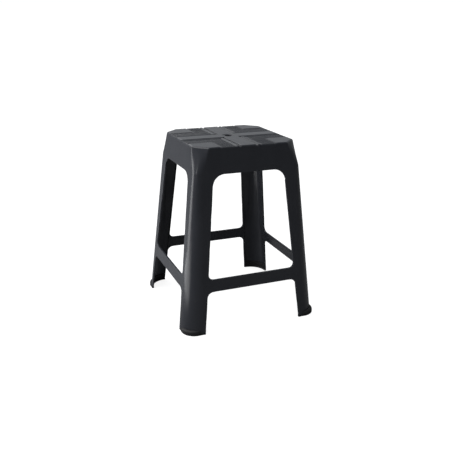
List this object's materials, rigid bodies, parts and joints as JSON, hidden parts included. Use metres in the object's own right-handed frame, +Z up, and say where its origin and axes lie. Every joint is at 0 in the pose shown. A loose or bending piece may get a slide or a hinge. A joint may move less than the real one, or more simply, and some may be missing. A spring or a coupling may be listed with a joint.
{
  "type": "step stool",
  "caption": "Square moulded plastic step stool with splayed angle-section legs, arched openings, a ring of stretchers, a patterned seat with a centre hole, and push-in foot caps.",
  "frame": {"origin": "floor level, under the centre of the seat", "axes": "+Z up through the centre hole of the seat; the front face looks along -Y and +X is to its right"},
  "size_m": [0.36, 0.36, 0.452],
  "materials": {
    "moulded_plastic": "satin",
    "foot_cap": "satin"
  },
  "bodies": {
    "root": {"stool_shell": "moulded_plastic", "foot_cap_front_left": "foot_cap", "foot_cap_front_right": "foot_cap", "foot_cap_rear_right": "foot_cap", "foot_cap_rear_left": "foot_cap"}
  },
  "joints": []
}
